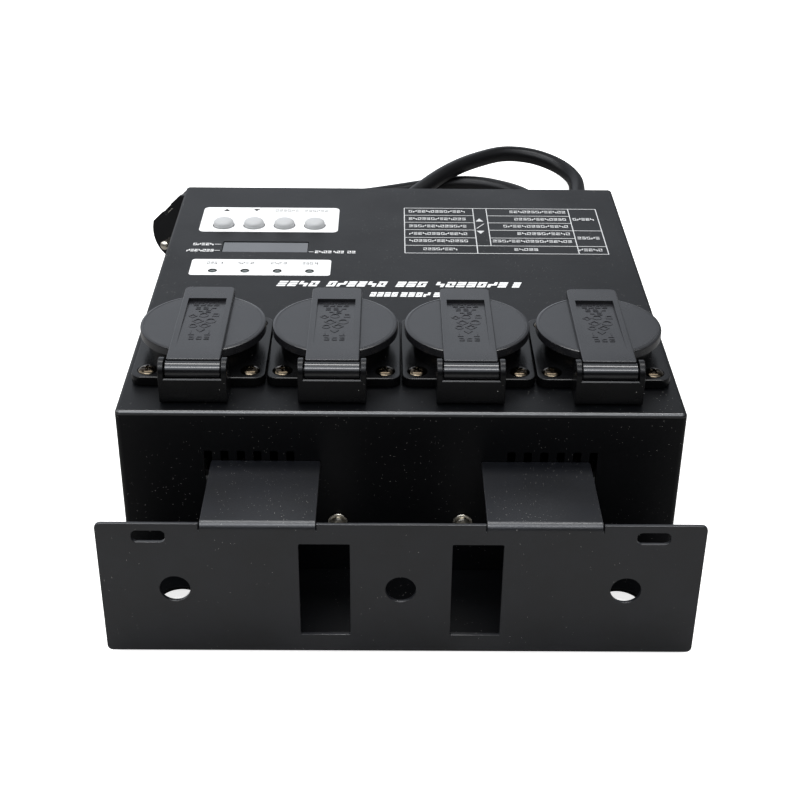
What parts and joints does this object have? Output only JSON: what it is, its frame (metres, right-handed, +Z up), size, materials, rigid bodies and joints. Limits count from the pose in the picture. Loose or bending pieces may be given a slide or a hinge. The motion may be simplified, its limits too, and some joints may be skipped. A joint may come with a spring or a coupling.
{
  "type": "dimmer pack",
  "caption": "Stage dimmer pack: black steel box with flanged outlets under sprung lids, push buttons and display, bent hanging bracket, mains cord and plug.",
  "frame": {"origin": "on the floor under the middle of the box and bracket, without the cord", "axes": "+X to the right seen from the bracket, +Y from the bracket to the rear wall, +Z up"},
  "size_m": [0.248, 0.4723, 0.0925],
  "materials": {
    "powder_black": "black powder coat, fine grain, half gloss",
    "outlet_plastic": "black moulded plastic, half gloss",
    "lid_plastic": "black moulded plastic, satin with fine scratches",
    "foot_rubber": "matt black rubber",
    "cord_rubber": "smooth black cord sheath, half gloss",
    "plated_steel": "nickel plated steel",
    "screw_brass": "dull yellow passivated steel",
    "spring_brass": "bright spring brass",
    "button_grey": "light grey moulded plastic",
    "display_filter": "smoke grey filter",
    "module_black": "black potted digit module",
    "light_guide_clear": "frosted clear acrylic",
    "board_green": "green circuit board lacquer",
    "sink_aluminium": "plain extruded aluminium",
    "socket_metal": "nickel plated zinc"
  },
  "bodies": {
    "root": {"cover": "powder_black", "base_plate": "powder_black", "mounting_bracket": "powder_black", "foot_front_left": "foot_rubber", "foot_screw_front_left": "plated_steel", "foot_front_right": "foot_rubber", "foot_screw_front_right": "plated_steel", "foot_rear_left": "foot_rubber", "foot_screw_rear_left": "plated_steel", "foot_rear_right": "foot_rubber", "foot_screw_rear_right": "plated_steel", "front_screw_left": "plated_steel", "front_screw_right": "plated_steel", "outlet_body_1": "outlet_plastic", "earth_strap_1": "spring_brass", "hinge_pin_1": "plated_steel", "flange_screw_1_1": "screw_brass", "flange_screw_1_2": "screw_brass", "flange_screw_1_3": "screw_brass", "flange_screw_1_4": "screw_brass", "outlet_body_2": "outlet_plastic", "earth_strap_2": "spring_brass", "hinge_pin_2": "plated_steel", "flange_screw_2_1": "screw_brass", "flange_screw_2_2": "screw_brass", "flange_screw_2_3": "screw_brass", "flange_screw_2_4": "screw_brass", "outlet_body_3": "outlet_plastic", "earth_strap_3": "spring_brass", "hinge_pin_3": "plated_steel", "flange_screw_3_1": "screw_brass", "flange_screw_3_2": "screw_brass", "flange_screw_3_3": "screw_brass", "flange_screw_3_4": "screw_brass", "outlet_body_4": "outlet_plastic", "earth_strap_4": "spring_brass", "hinge_pin_4": "plated_steel", "flange_screw_4_1": "screw_brass", "flange_screw_4_2": "screw_brass", "flange_screw_4_3": "screw_brass", "flange_screw_4_4": "screw_brass", "display_window": "display_filter", "display_module": "module_black", "light_guide": "light_guide_clear", "control_board": "board_green", "power_board": "board_green", "heat_sink": "sink_aluminium", "signal_input": "socket_metal", "signal_output": "socket_metal", "strain_relief": "cord_rubber", "mains_cord": "cord_rubber", "mains_plug": "cord_rubber"},
    "lid_1": {"outlet_lid_1": "lid_plastic"},
    "lid_2": {"outlet_lid_2": "lid_plastic"},
    "lid_3": {"outlet_lid_3": "lid_plastic"},
    "lid_4": {"outlet_lid_4": "lid_plastic"},
    "push_button_1": {"button_1": "button_grey"},
    "push_button_2": {"button_2": "button_grey"},
    "push_button_3": {"button_3": "button_grey"},
    "push_button_4": {"button_4": "button_grey"}
  },
  "joints": [
    {"name": "lid_1_hinge", "type": "hinge", "parent": "root", "child": "lid_1", "pos_m": [-0.075, -0.0779, 0.0878], "axis": [1, 0, 0], "range_deg": [0, 110], "stiffness_Nm_per_rad": 0.003, "springref_deg": -34.38},
    {"name": "lid_2_hinge", "type": "hinge", "parent": "root", "child": "lid_2", "pos_m": [-0.025, -0.0779, 0.0878], "axis": [1, 0, 0], "range_deg": [0, 110], "stiffness_Nm_per_rad": 0.003, "springref_deg": -34.38},
    {"name": "lid_3_hinge", "type": "hinge", "parent": "root", "child": "lid_3", "pos_m": [0.025, -0.0779, 0.0878], "axis": [1, 0, 0], "range_deg": [0, 110], "stiffness_Nm_per_rad": 0.003, "springref_deg": -34.38},
    {"name": "lid_4_hinge", "type": "hinge", "parent": "root", "child": "lid_4", "pos_m": [0.075, -0.0779, 0.0878], "axis": [1, 0, 0], "range_deg": [0, 110], "stiffness_Nm_per_rad": 0.003, "springref_deg": -34.38},
    {"name": "button_1_press", "type": "slide", "parent": "root", "child": "push_button_1", "axis": [0, 0, -1], "range_m": [0, 0.0008], "stiffness_N_per_m": 600},
    {"name": "button_2_press", "type": "slide", "parent": "root", "child": "push_button_2", "axis": [0, 0, -1], "range_m": [0, 0.0008], "stiffness_N_per_m": 600},
    {"name": "button_3_press", "type": "slide", "parent": "root", "child": "push_button_3", "axis": [0, 0, -1], "range_m": [0, 0.0008], "stiffness_N_per_m": 600},
    {"name": "button_4_press", "type": "slide", "parent": "root", "child": "push_button_4", "axis": [0, 0, -1], "range_m": [0, 0.0008], "stiffness_N_per_m": 600}
  ]
}
